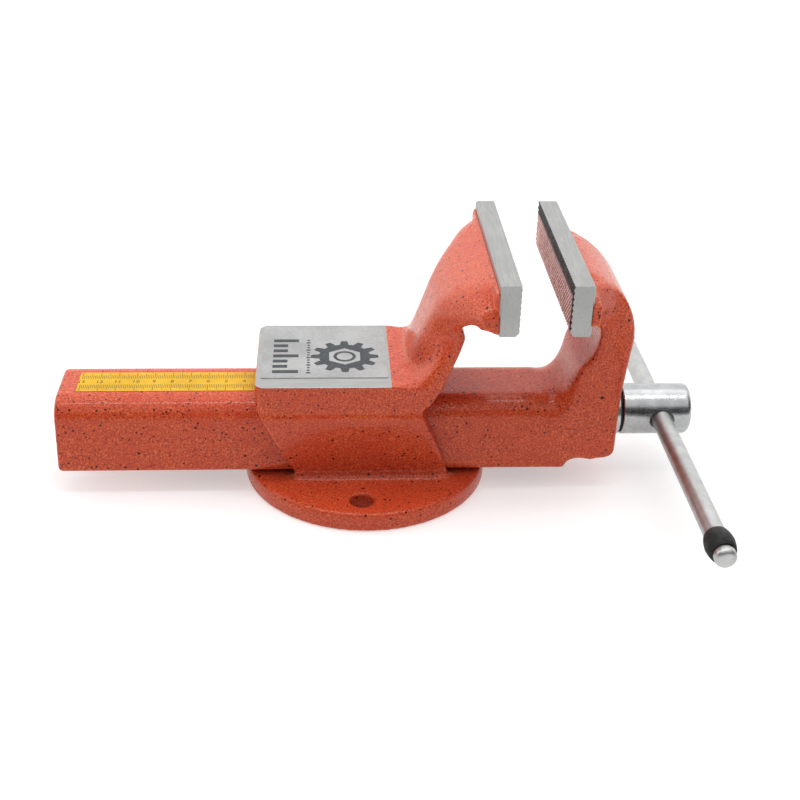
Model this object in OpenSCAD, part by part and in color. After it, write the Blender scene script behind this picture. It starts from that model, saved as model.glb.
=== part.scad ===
// Bench vise with a U-section sliding bar. X runs along the screw towards the handle, Z is up,
// and the origin is the centre of the round base's underside.

/* [Base] */
// Diameter of the round base flange
base_d = 137.4; // [130:0.2:150]
// Thickness of the base flange
base_t = 10.8; // [9:0.1:11.2]
// Diameter of the circle that the base bolt holes lie on
base_bolt_circle = 107.6; // [102:0.2:112]
// Turn of the bolt holes about Z, in degrees from the Y axis
base_bolt_turn = -3.5; // [-6:0.5:6]
// Diameter of the base bolt holes
base_bolt_d = 13; // [9:0.5:14]

/* [Fixed body] */
// Width of the upper body block and anvil
block_w = 76; // [72:1:80]
// Height of the anvil face above the bench
anvil_z = 71.4; // [68:0.2:74]
// Width of the body where it meets the base
foot_w = 65; // [64:0.5:68]

/* [Jaws] */
// Width of the jaw plates
jaw_w = 120; // [100:1:130]
// Height of the jaw plates
plate_h = 27.8; // [24:0.1:28]
// Thickness of the fixed jaw plate
fixed_plate_t = 10.7; // [8:0.1:12]
// Thickness of the moving jaw plate
moving_plate_t = 11; // [8:0.1:12]
// Opening between the jaw plates as drawn
jaw_gap = 25.8; // [25.2:0.1:26]
// Height of the top of the jaws above the bench
jaw_top_z = 139.8; // [136:0.2:142]

/* [Sliding bar] */
// Width of the sliding bar near its top
bar_w = 51; // [48:0.5:52]
// Height of the sliding bar's top face above the bench
bar_top_z = 55; // [54:0.2:56]
// Length of the bar behind the origin
bar_back = 170; // [150:1:185]
// Wall thickness of the sliding bar's sides
bar_wall = 7; // [6:0.5:8]

/* [Screw and handle] */
// Major diameter of the screw thread
screw_d = 20; // [16:1:20]
// Diameter of the screw head
head_d = 29; // [27:0.5:30]
// Length of the screw head
head_len = 39.3; // [34:0.1:44]
// Diameter of the handle bar
handle_d = 11.2; // [10:0.1:12]
// Tilt of the handle bar as drawn, in degrees
handle_tilt = 0; // [0:0.5:12]

/* [Hidden] */
$fn = 96;

orange = "#d8573a";
steel = "#b9babb";
dark_steel = "#6d6e70";

// Fixed jaw: the plate's back face and the pad of the casting behind it
fixed_plate_x = 64;
fixed_face_x = fixed_plate_x + fixed_plate_t;
pad_x = 56;
// Moving jaw
moving_face_x = fixed_face_x + jaw_gap;
moving_plate_x = moving_face_x + moving_plate_t;
plate_z = jaw_top_z - plate_h;

// Body block and anvil
block_x0 = -60.5;
block_z0 = 56.5;
crease_r = 1.6;
foot_fillet = 6;

// Sliding bar section
bar_bottom_z = 13.4;
bar_draft = 3.3;
bar_corner = 12;
bar_foot_corner = 3;
slide_gap = 0.35;
cavity_top_z = 50;
cavity_corner = 6;
front_wall_x = 119;
front_face_x = 139.3;

// Screw stack, from the casting's front face outwards
screw_z = 36.3;
screw_r = screw_d / 2;
screw_back = 125;
run_gap = 0.06;
face_gap = 0.15;
bushing_r = 13;
washer_t = 5;
washer_r = 14.6;
seal_t = 1.2;
seal_r = 13.6;
washer_x = front_face_x + face_gap;
seal_x = washer_x + washer_t + face_gap;
head_x = seal_x + seal_t + face_gap;
head_r = head_d / 2;
head_round = 3;
collar_len = 11;
collar_r = 12.8;
inner_washer_t = 2;
inner_washer_x = front_wall_x - face_gap - inner_washer_t;
collar_x = inner_washer_x - face_gap - collar_len;
collar_pin_r = 2.5;

// Spindle nut on its pedestal, bolted up through the base
nut_len = 44;
nut_r = 13.2;
nut_bolt_x = 13;
nut_bolt_r = 4;
nut_bolt_top_z = 24;
bolt_head_r = 6.5;
bolt_head_h = 4;
bore_depth = 6.6;
bore_r = 8.6;
bolt_washer_r = 8;
bolt_washer_t = 1.6;

// Dowel pins behind the jaw plates
pin_r = 4;
pin_y = 25;
pin_z = plate_z + 12;
pin_in_plate = 6;
pin_in_casting = 8;

// Handle
handle_x = 168;
handle_r = handle_d / 2;
near_len = 127.6;
far_len = 88;
bumper_len = 14.6;
bumper_r = 7.7;
spigot_r = 4;
knob_len = 5.2;
knob_round = 3;
knob_bore_depth = 3.2;

// Rule on top of the bar, and label on the anvil
rule_x0 = -159.5;
rule_x1 = 20;
rule_w = 21.8;
rule_t = 0.25;
label_x0 = -57.5;
label_x1 = 11;
label_y0 = -27;
label_y1 = 36;
label_t = 0.25;

// Points along an arc from angle a0 to a1
function arc(x, y, r, a0, a1, n = 8) =
    [for (i = [0:n]) [x + r * cos(a0 + (a1 - a0) * i / n), y + r * sin(a0 + (a1 - a0) * i / n)]];
// A half outline given as [x, half-width] points, closed by its mirror image
function both_sides(half) =
    concat(half, [for (i = [len(half) - 1:-1:0]) [half[i][0], -half[i][1]]]);
function flip(half) =
    concat(half, [for (i = [len(half) - 1:-1:0]) [-half[i][0], half[i][1]]]);

// Extrudes a YZ outline along X from x0 to x1
module along_x(x0, x1) {
    translate([x0, 0, 0]) rotate([90, 0, 90]) linear_extrude(x1 - x0) children();
}
// Extrudes an XZ outline to both sides of the middle plane
module across_y(w) {
    rotate([90, 0, 0]) linear_extrude(w, center = true) children();
}
module rod_x(r, x0, x1, z = screw_z) {
    translate([x0, 0, z]) rotate([0, 90, 0]) cylinder(r = r, h = x1 - x0);
}
module ring_x(r, bore, x0, x1) {
    difference() {
        rod_x(r, x0, x1);
        rod_x(bore, x0 - 1, x1 + 1);
    }
}

// ---- fixed body ----
module flange() {
    edge = 1.5;
    r = base_d / 2;
    rotate_extrude($fn = 180)
        polygon(concat([[0, 0], [r - 0.6, 0], [r, 0.6]], arc(r - edge, base_t - edge, edge, 0, 90, 5),
            [[0, base_t]]));
}
// YZ outline of the body below the block: rounded shoulder, tapered side, fillet on the base
module body_section() {
    side = block_w / 2;
    foot = foot_w / 2;
    polygon(flip(concat(
        [[0, base_t - 1], [foot + foot_fillet, base_t - 1]],
        arc(foot + foot_fillet, base_t + foot_fillet, foot_fillet, 270, 180),
        [[side + 1.2, 50]],
        arc(side - 0.4, 52.5, crease_r, 0, 70, 4),
        [[side - 0.2, block_z0], [side - 0.2, block_z0 + 1], [0, block_z0 + 1]])));
}
// XZ outline of the body below the block, raked back towards the handle
module body_rake() {
    polygon([[block_x0 + 0.5, block_z0 + 1], [-38.9, base_t - 1], [47.9, base_t - 1],
        [29.4, block_z0 - 2], [29.4, block_z0 + 1]]);
}
module block() {
    corner = 5;
    side = block_w / 2;
    intersection() {
        across_y(block_w) polygon(concat(
            [[block_x0, anvil_z], [block_x0, block_z0], [27, block_z0]],
            arc(27, block_z0 + 9, 9, 270, 340, 6),
            [[40.9, anvil_z]]));
        translate([0, 0, block_z0]) linear_extrude(30) polygon(both_sides(concat(
            arc(block_x0 + corner, side - corner, corner, 180, 90, 5), [[45, side]])));
    }
}
// Horizontal sections of the jaw arm: height, back edge, back half-width, end of the flank,
// its half-width, and front edge
arm_levels = [
    [68, 21.5, 9, 24, block_w / 2, 39.6],
    [90, 27.5, 17, 41.4, block_w / 2, 48],
    [103, 32.5, 20, 48.6, block_w / 2, 52],
    [112, 36, 23, pad_x, jaw_w / 2, fixed_plate_x],
    [122.5, 44, 30, pad_x, jaw_w / 2, fixed_plate_x],
    [130.5, 55, 44, pad_x + 1.5, jaw_w / 2 - 10, fixed_plate_x],
    [133.4, 59.5, 40, pad_x + 5, jaw_w / 2 - 14, fixed_plate_x]];
function arm_section_at(level) =
    [for (p = both_sides([[level[1], level[2]], [level[3], level[4]], [level[5], level[4]]]))
        [p[0], p[1], level[0]]];
// Solid through a stack of horizontal outlines that all have the same number of points
module loft(rings) {
    n = len(rings[0]);
    last = (len(rings) - 1) * n;
    sides = [for (i = [0:len(rings) - 2], j = [0:n - 1])
        let (a = i * n + j, b = i * n + (j + 1) % n) each [[a, b, a + n], [b, b + n, a + n]]];
    polyhedron([for (ring = rings) each ring],
        concat([[for (j = [n - 1:-1:0]) j]], sides, [[for (j = [0:n - 1]) last + j]]));
}
module fixed_arm() {
    arch_r = 8.6;
    difference() {
        loft([for (level = arm_levels) arm_section_at(level)]);
        translate([57.4, 0, 106]) rotate([90, 0, 0]) cylinder(r = arch_r, h = 2 * jaw_w, center = true);
    }
}
// Thin rim of the pad, which stands up behind the plate along its whole width
module fixed_pad_rim() {
    rim_t = 2;
    rim_top = 4.2;
    rim_low = 18;
    end_gap = 0.6;
    translate([fixed_plate_x - rim_t, end_gap - jaw_w / 2, jaw_top_z - rim_low])
        cube([rim_t, jaw_w - 2 * end_gap, rim_low - rim_top]);
}
// YZ outline of the sliding bar, grown by g on every side
module bar_section(g = 0) {
    top = bar_w / 2;
    foot = top + bar_draft;
    polygon(flip(concat(
        [[0, bar_bottom_z - g]],
        arc(foot - bar_foot_corner, bar_bottom_z + bar_foot_corner, bar_foot_corner + g, 270, 360, 4),
        arc(top - bar_corner, bar_top_z - bar_corner, bar_corner + g, 5, 90, 8),
        [[0, bar_top_z + g]])));
}
module tunnel() {
    half = bar_w / 2 + bar_draft + slide_gap;
    along_x(-90, 80) union() {
        bar_section(slide_gap);
        translate([-half, base_t]) square([2 * half, bar_bottom_z + 2 - base_t]);
    }
}
module pin_holes(x0, depth) {
    for (s = [-1, 1])
        translate([x0, s * pin_y, pin_z]) rotate([0, 90, 0]) cylinder(r = pin_r, h = depth);
}
module fixed_body() {
    color(orange) difference() {
        union() {
            flange();
            intersection() {
                across_y(120) body_rake();
                along_x(-90, 80) body_section();
            }
            block();
            fixed_arm();
            fixed_pad_rim();
        }
        tunnel();
        for (s = [-1, 1]) {
            rotate([0, 0, base_bolt_turn]) translate([0, s * base_bolt_circle / 2, -1])
                cylinder(r = base_bolt_d / 2, h = base_t + 2);
            translate([s * nut_bolt_x, 0, -1]) cylinder(r = nut_bolt_r + 0.5, h = base_t + 2);
            translate([s * nut_bolt_x, 0, -1]) cylinder(r = bore_r, h = bore_depth + 1);
        }
        pin_holes(fixed_plate_x - pin_in_casting, pin_in_casting + 1);
    }
}

// ---- jaw plates and their pins ----
module plate(x0, t, pin_side) {
    chamfer = 2;
    face_x = pin_side > 0 ? x0 : x0 + t;
    difference() {
        translate([x0, -jaw_w / 2, plate_z]) cube([t, jaw_w, plate_h]);
        pin_holes(pin_side > 0 ? x0 + t - pin_in_plate : x0 - 1, pin_in_plate + 1);
        translate([face_x, 0, plate_z]) rotate([90, 0, 0])
            cylinder(r = chamfer, h = jaw_w + 2, center = true, $fn = 4);
    }
}
module fixed_jaw_plate() {
    color(steel) plate(fixed_plate_x, fixed_plate_t, -1);
}
module moving_jaw_plate() {
    color(steel) plate(moving_face_x, moving_plate_t, 1);
}
module plate_pins(x0) {
    for (s = [-1, 1])
        translate([x0, s * pin_y, pin_z]) rotate([0, 90, 0])
            cylinder(r = pin_r, h = pin_in_casting + pin_in_plate - 1);
}
module fixed_plate_pins() {
    color(dark_steel) plate_pins(fixed_plate_x - pin_in_casting + 0.5);
}
module moving_plate_pins() {
    color(dark_steel) plate_pins(moving_plate_x - pin_in_plate + 0.5);
}

// ---- spindle nut ----
module spindle_nut() {
    foot_r = 2;
    color("#8f7a4a") difference() {
        union() {
            rod_x(nut_r, -nut_len / 2, nut_len / 2);
            translate([-nut_len / 2, -nut_r, base_t]) cube([nut_len, 2 * nut_r, screw_z - base_t]);
            translate([-nut_len / 2, -nut_r - foot_r, base_t]) cube([nut_len, 2 * (nut_r + foot_r), 6]);
        }
        rod_x(screw_r + run_gap, -nut_len, nut_len);
        for (s = [-1, 1])
            translate([s * nut_bolt_x, 0, base_t - 1])
                cylinder(r = nut_bolt_r, h = nut_bolt_top_z - base_t + 1);
    }
}
module nut_bolts() {
    socket_r = 2.9;
    seat_z = bore_depth - bolt_washer_t;
    color(dark_steel) for (s = [-1, 1]) translate([s * nut_bolt_x, 0, 0]) difference() {
        union() {
            translate([0, 0, seat_z - bolt_head_h]) cylinder(r = bolt_head_r, h = bolt_head_h);
            cylinder(r = nut_bolt_r, h = nut_bolt_top_z - 1);
        }
        translate([0, 0, -1]) cylinder(r = socket_r, h = 3.5, $fn = 6);
    }
}
module nut_bolt_washers() {
    color(steel) for (s = [-1, 1])
        translate([s * nut_bolt_x, 0, bore_depth - bolt_washer_t]) difference() {
            cylinder(r = bolt_washer_r, h = bolt_washer_t);
            translate([0, 0, -1]) cylinder(r = nut_bolt_r + 0.3, h = bolt_washer_t + 2);
        }
}
module anvil_label() {
    color("#d6d8d9") translate([label_x0, label_y0, anvil_z])
        cube([label_x1 - label_x0, label_y1 - label_y0, label_t]);
}

// ---- moving jaw ----
// XZ outline of the arm: throat on the left, rounded back on the right
module moving_arm_outline() {
    nose = 5;
    nose_z = 19.8;
    polygon(concat(
        [[moving_plate_x, 133.8], [moving_plate_x, plate_z - 1.5], [116, plate_z - 2]],
        arc(96.5, 96, 28, 22, -48, 10),
        [[111, 59], [108, bar_top_z], [104, 40], [108, bar_bottom_z], [116, 17.2]],
        arc(front_face_x - nose, nose_z + nose, nose, -85, 0, 5),
        [[front_face_x, 54]],
        arc(103.4, 94.4, 40, -11, 54, 12),
        [[119.5, 131.2]]));
}
// A block standing on the casting side of the moving plate, w wide across Y
module wing_block(z, t, w, h) {
    translate([moving_plate_x, -w / 2, z]) cube([t, w, h]);
}
// Widens the arm to the full plate width at its top
module moving_wing() {
    pad_t = 4.3;
    pad_h = 13.8;
    shoulder_h = 11;
    corner = 7;
    z0 = plate_z + 5.4;
    flare_w = 84;
    flare_h = 10.6;
    root_w = bar_w + 4;
    root_t = 11;
    root_z = plate_z - 10.2;
    root_h = 28;
    back_t = 19.5;
    back_z = plate_z + 0.8;
    back_h = 12;
    hull() {
        wing_block(z0, pad_t, jaw_w, shoulder_h);
        wing_block(z0, pad_t, jaw_w - 2 * corner, pad_h);
    }
    hull() {
        wing_block(z0 + 3, pad_t, flare_w, flare_h);
        wing_block(root_z, root_t, root_w, root_h);
        wing_block(back_z, back_t, root_w, back_h);
    }
}
module moving_jaw() {
    arm_w = bar_w + 5;
    cavity = bar_w / 2 - bar_wall;
    color(orange) difference() {
        union() {
            along_x(-bar_back, 112) bar_section();
            intersection() {
                across_y(arm_w) moving_arm_outline();
                along_x(90, 160) arm_section(arm_w / 2);
            }
            intersection() {
                moving_wing();
                across_y(jaw_w) polygon([[moving_plate_x, 90], [moving_plate_x, 134],
                    [114.5, 133.4], [123.5, 129.4], [131, 123.8], [137.4, 114], [137.4, 90]]);
            }
        }
        along_x(-bar_back - 1, front_wall_x) polygon(flip(concat(
            [[0, bar_bottom_z - 1], [cavity + 1.5, bar_bottom_z - 1]],
            arc(cavity - cavity_corner, cavity_top_z - cavity_corner, cavity_corner, 5, 90, 5))));
        rod_x(bushing_r, front_wall_x - 1, front_face_x + 1);
        pin_holes(moving_plate_x - 1, pin_in_casting + 1);
    }
}
// YZ outline that rounds the long edges of the arm
module arm_section(half) {
    r = 5;
    polygon(flip(concat([[0, 0], [half + 0.6, 0], [half, 60]], arc(half - r, 150 - r, r, 0, 90, 4))));
}
module screw_bushing() {
    color("#b08d43") ring_x(bushing_r, screw_r + run_gap, front_wall_x, front_face_x);
}
module scale_rule() {
    color("#f2c521") translate([rule_x0, -rule_w / 2, bar_top_z]) cube([rule_x1 - rule_x0, rule_w, rule_t]);
}

// ---- screw and what turns with it ----
// Places something on the handle's axis, which crosses the screw's axis
module on_handle() {
    translate([handle_x, 0, screw_z]) rotate([handle_tilt, 0, 0]) rotate([-90, 0, 0]) children();
}
module main_screw() {
    hole_r = handle_r + run_gap;
    flare = 1.6;
    color(steel) difference() {
        translate([0, 0, screw_z]) rotate([0, 90, 0]) rotate_extrude()
            polygon(concat(
                [[0, -screw_back], [screw_r - 2, -screw_back], [screw_r, -screw_back + 2],
                [screw_r, head_x], [head_r - 0.6, head_x], [head_r, head_x + 0.6]],
                arc(head_r - head_round, head_x + head_len - head_round, head_round, 0, 90, 6),
                [[0, head_x + head_len]]));
        on_handle() cylinder(r = hole_r, h = 2 * head_d, center = true);
        for (s = [0, 180])
            on_handle() rotate([s, 0, 0]) translate([0, 0, head_r - flare])
                cylinder(r1 = hole_r, r2 = hole_r + 2 * flare, h = 2 * flare);
        translate([collar_x + collar_len / 2, 0, screw_z])
            cylinder(r = collar_pin_r, h = 2 * head_d, center = true);
    }
}
module thrust_washer() {
    color(steel) ring_x(washer_r, screw_r + 0.3, washer_x, washer_x + washer_t);
}
module dust_seal() {
    color("#1d1d1f") ring_x(seal_r, screw_r + 0.1, seal_x, seal_x + seal_t);
}
module retaining_washer() {
    color(steel) ring_x(collar_r, screw_r + 0.3, inner_washer_x, inner_washer_x + inner_washer_t);
}
module retaining_collar() {
    color(dark_steel) difference() {
        ring_x(collar_r, screw_r + run_gap, collar_x, collar_x + collar_len);
        translate([collar_x + collar_len / 2, 0, screw_z])
            cylinder(r = collar_pin_r, h = 4 * collar_r, center = true);
    }
}
module collar_pin() {
    color(dark_steel) translate([collar_x + collar_len / 2, 0, screw_z])
        cylinder(r = collar_pin_r, h = 2 * collar_r - 0.6, center = true);
}

// ---- handle ----
module handle_bar() {
    spigot = bumper_len + knob_bore_depth;
    color(steel) on_handle() union() {
        translate([0, 0, -near_len]) cylinder(r = handle_r, h = near_len + far_len);
        translate([0, 0, -near_len - spigot]) cylinder(r = spigot_r, h = spigot + 1);
        translate([0, 0, far_len - 1]) cylinder(r = spigot_r, h = spigot + 1);
    }
}
// Domed knob that closes one end of the bar; s is -1 at the near end
module end_knob(s) {
    start = (s < 0 ? near_len : far_len) + bumper_len;
    bore = spigot_r;
    on_handle() mirror([0, 0, s < 0 ? 1 : 0]) translate([0, 0, start]) rotate_extrude()
        polygon(concat([[bore, 0], [handle_r, 0]],
            arc(handle_r - knob_round, knob_len - knob_round, knob_round, 0, 90, 6),
            [[0, knob_len], [0, knob_bore_depth], [bore, knob_bore_depth]]));
}
module near_end_knob() {
    color(steel) end_knob(-1);
}
module far_end_knob() {
    color(steel) end_knob(1);
}
// Barrel-shaped rubber stop
module bumper(s) {
    start = s < 0 ? near_len : far_len;
    waist = handle_r + 0.6;
    on_handle() mirror([0, 0, s < 0 ? 1 : 0]) translate([0, 0, start]) rotate_extrude()
        polygon(concat([[spigot_r, 0], [waist, 0]],
            [for (i = [1:7]) [waist + (bumper_r - waist) * sin(i * 22.5), bumper_len * i / 8]],
            [[waist, bumper_len], [spigot_r, bumper_len]]));
}
module near_bumper() {
    color("#161617") bumper(-1);
}
module far_bumper() {
    color("#161617") bumper(1);
}

fixed_body();
fixed_jaw_plate();
fixed_plate_pins();
spindle_nut();
nut_bolts();
nut_bolt_washers();
anvil_label();
moving_jaw();
moving_jaw_plate();
moving_plate_pins();
screw_bushing();
scale_rule();
main_screw();
thrust_washer();
dust_seal();
retaining_washer();
retaining_collar();
collar_pin();
handle_bar();
near_end_knob();
far_end_knob();
near_bumper();
far_bumper();
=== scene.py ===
import math

import bmesh
import bpy
import numpy as np
from mathutils import Matrix, Vector


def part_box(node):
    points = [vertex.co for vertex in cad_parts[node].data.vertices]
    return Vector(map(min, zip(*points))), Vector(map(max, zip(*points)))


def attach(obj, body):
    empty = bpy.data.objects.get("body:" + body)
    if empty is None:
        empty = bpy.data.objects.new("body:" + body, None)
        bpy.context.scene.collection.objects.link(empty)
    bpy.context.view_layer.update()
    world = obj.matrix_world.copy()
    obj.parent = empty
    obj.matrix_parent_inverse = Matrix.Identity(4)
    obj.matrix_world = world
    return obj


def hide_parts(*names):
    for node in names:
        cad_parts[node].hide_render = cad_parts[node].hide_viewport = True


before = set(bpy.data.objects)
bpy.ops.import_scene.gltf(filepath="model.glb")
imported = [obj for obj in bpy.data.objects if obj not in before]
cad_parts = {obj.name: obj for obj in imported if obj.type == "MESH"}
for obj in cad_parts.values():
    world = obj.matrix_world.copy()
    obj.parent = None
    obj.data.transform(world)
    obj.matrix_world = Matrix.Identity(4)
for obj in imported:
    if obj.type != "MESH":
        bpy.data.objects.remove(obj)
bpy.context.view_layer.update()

scene = bpy.context.scene
MM = 0.001
CAD_WELD = 0.002 * MM  # points of a CAD mesh closer than this are one point
CUT_WELD = 0.0005 * MM  # and the same for cuts and printed marks
THREAD_WELD = 0.01 * MM  # and for the thread's turns
CASTING_VOXEL = 1.05 * MM  # size of the faces that the castings are rebuilt from
RELAX_STEP = 0.6  # how far a fully weighted vertex of a casting goes in one round
INK = 0.03 * MM  # thickness of printed marks

# ---- places taken from the frame ----
label_low, label_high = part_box("anvil_label")
rule_low, rule_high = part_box("scale_rule")
screw_low, screw_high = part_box("main_screw")
collar_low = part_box("retaining_collar")[0]
bar_low, bar_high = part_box("handle_bar")
fixed_plate_low, fixed_plate_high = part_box("fixed_jaw_plate")
moving_plate_low, moving_plate_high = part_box("moving_jaw_plate")

anvil_z = label_low.z
anvil_end_x = label_high.x + 1.6 * MM  # the bare steel goes on a little past the label
screw_z = (screw_low.z + screw_high.z) / 2
head_r = (screw_high.z - screw_low.z) / 2
screw_r = 10 * MM  # over the thread's crests; the head hides it in the node's box
handle_x = (bar_low.x + bar_high.x) / 2
handle_r = (bar_high.x - bar_low.x) / 2


# ---- mesh helpers ----
def bare_mesh(name, verts, faces):
    """A mesh from lists of points and faces."""
    mesh = bpy.data.meshes.new(name)
    mesh.from_pydata([tuple(v) for v in verts], [], [tuple(f) for f in faces])
    mesh.update()
    return mesh


def mesh_of(name, bm):
    """Turns a bmesh into a mesh and frees it."""
    mesh = bpy.data.meshes.new(name)
    bm.to_mesh(mesh)
    bm.free()
    return mesh


def evaluated(mesh, kind, **settings):
    """The mesh after a modifier of a kind, with its settings."""
    holder = bpy.data.objects.new("holder", mesh)
    scene.collection.objects.link(holder)
    modifier = holder.modifiers.new(kind.lower(), kind)
    for key, value in settings.items():
        setattr(modifier, key, value)
    graph = bpy.context.evaluated_depsgraph_get()
    graph.update()
    made = bpy.data.meshes.new_from_object(holder.evaluated_get(graph))
    bpy.data.objects.remove(holder)
    return made


def cad_mesh(node):
    """A copy of a CAD node's mesh with its shared vertices merged and no stored normals."""
    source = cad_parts[node].data
    verts = [v.co for v in source.vertices]
    mesh = bare_mesh(node + "_copy", verts, [p.vertices for p in source.polygons])
    bm = bmesh.new()
    bm.from_mesh(mesh)
    bmesh.ops.remove_doubles(bm, verts=bm.verts, dist=CAD_WELD)
    return mesh_of(node + "_copy", bm)


def points_of(mesh):
    """The mesh's points as an array of rows."""
    co = np.empty(len(mesh.vertices) * 3)
    mesh.vertices.foreach_get("co", co)
    return co.reshape(-1, 3)


def relax(mesh, rounds, weight):
    """Moves every vertex towards the mean of its neighbours, by its weight, rounds times."""
    co = points_of(mesh)
    edges = np.empty(len(mesh.edges) * 2, np.int64)
    mesh.edges.foreach_get("vertices", edges)
    a, b = edges.reshape(-1, 2).T
    n = len(co)
    degree = np.bincount(a, minlength=n) + np.bincount(b, minlength=n)
    for _ in range(rounds):
        total = np.empty_like(co)
        for k in range(3):
            total[:, k] = np.bincount(a, co[b, k], n) + np.bincount(b, co[a, k], n)
        co += weight[:, None] * (total / degree[:, None] - co)
    mesh.vertices.foreach_set("co", co.ravel())
    mesh.update()


def ease(value, start, end):
    """0 at start and 1 at end, smoothly, for numpy arrays."""
    t = np.clip((value - start) / (end - start), 0, 1)
    return t * t * (3 - 2 * t)


def press(mesh, weight, shift):
    """Moves every vertex by its weight times the shift along X."""
    co = points_of(mesh)
    co[:, 0] += weight * shift
    mesh.vertices.foreach_set("co", co.ravel())
    mesh.update()


def cut(bm, point, normal, keep_back=False):
    """Cuts the whole mesh along a plane; keep_back throws away what is on the normal's side."""
    geom = list(bm.verts) + list(bm.edges) + list(bm.faces)
    planes = {"plane_co": point, "plane_no": normal, "clear_outer": keep_back}
    bmesh.ops.bisect_plane(bm, geom=geom, dist=CUT_WELD, **planes)


def shade(mesh, sharp_deg=None):
    """Smooth shading, with edges over sharp_deg left sharp."""
    mesh.polygons.foreach_set("use_smooth", [True] * len(mesh.polygons))
    if sharp_deg is not None:
        mesh.set_sharp_from_angle(angle=math.radians(sharp_deg))
    mesh.update()


def piece(name, mesh, body, materials, replaces=()):
    """Finishes a piece: it rides on a body, has a slot, and may stand for CAD nodes."""
    mesh.name = name
    for material in materials:
        mesh.materials.append(material)
    obj = bpy.data.objects.new(name, mesh)
    scene.collection.objects.link(obj)
    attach(obj, body)
    if replaces:
        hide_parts(*replaces)


def lathe(profile, steps=96):
    """A solid of revolution round the local Z axis from (radius, height) points, as a bmesh.
    Points of zero radius become poles; a profile that starts and ends off the axis is a ring."""
    bm = bmesh.new()
    rings = []
    for r, z in profile:
        if r == 0:
            rings.append([bm.verts.new((0, 0, z))])
        else:
            angles = [2 * math.pi * i / steps for i in range(steps)]
            rings.append([bm.verts.new((r * math.cos(t), r * math.sin(t), z)) for t in angles])
    pairs = list(zip(rings, rings[1:]))
    if len(rings[0]) > 1 and len(rings[-1]) > 1:
        pairs.append((rings[-1], rings[0]))
    for low, high in pairs:
        for i in range(steps):
            j = (i + 1) % steps
            if len(low) == 1:
                bm.faces.new((low[0], high[j], high[i]))
            elif len(high) == 1:
                bm.faces.new((low[i], low[j], high[0]))
            else:
                bm.faces.new((low[i], low[j], high[j], high[i]))
    bmesh.ops.recalc_face_normals(bm, faces=bm.faces)
    return bm


def arc(x, y, r, start, end, steps):
    """Points of an arc, with angles in degrees."""
    turn = (end - start) / steps
    angles = [math.radians(start + turn * i) for i in range(steps + 1)]
    return [(x + r * math.cos(t), y + r * math.sin(t)) for t in angles]


# Turns a lathe's Z axis to +X at the screw's height
ALONG_SCREW = Matrix.Translation((0, 0, screw_z)) @ Matrix.Rotation(math.pi / 2, 4, "Y")


def along_handle(side):
    """Turns a lathe's Z axis to +Y (side 1) or -Y (side -1) at the handle's place."""
    return Matrix.Translation((handle_x, 0, screw_z)) @ Matrix.Rotation(-side * math.pi / 2, 4, "X")


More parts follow.
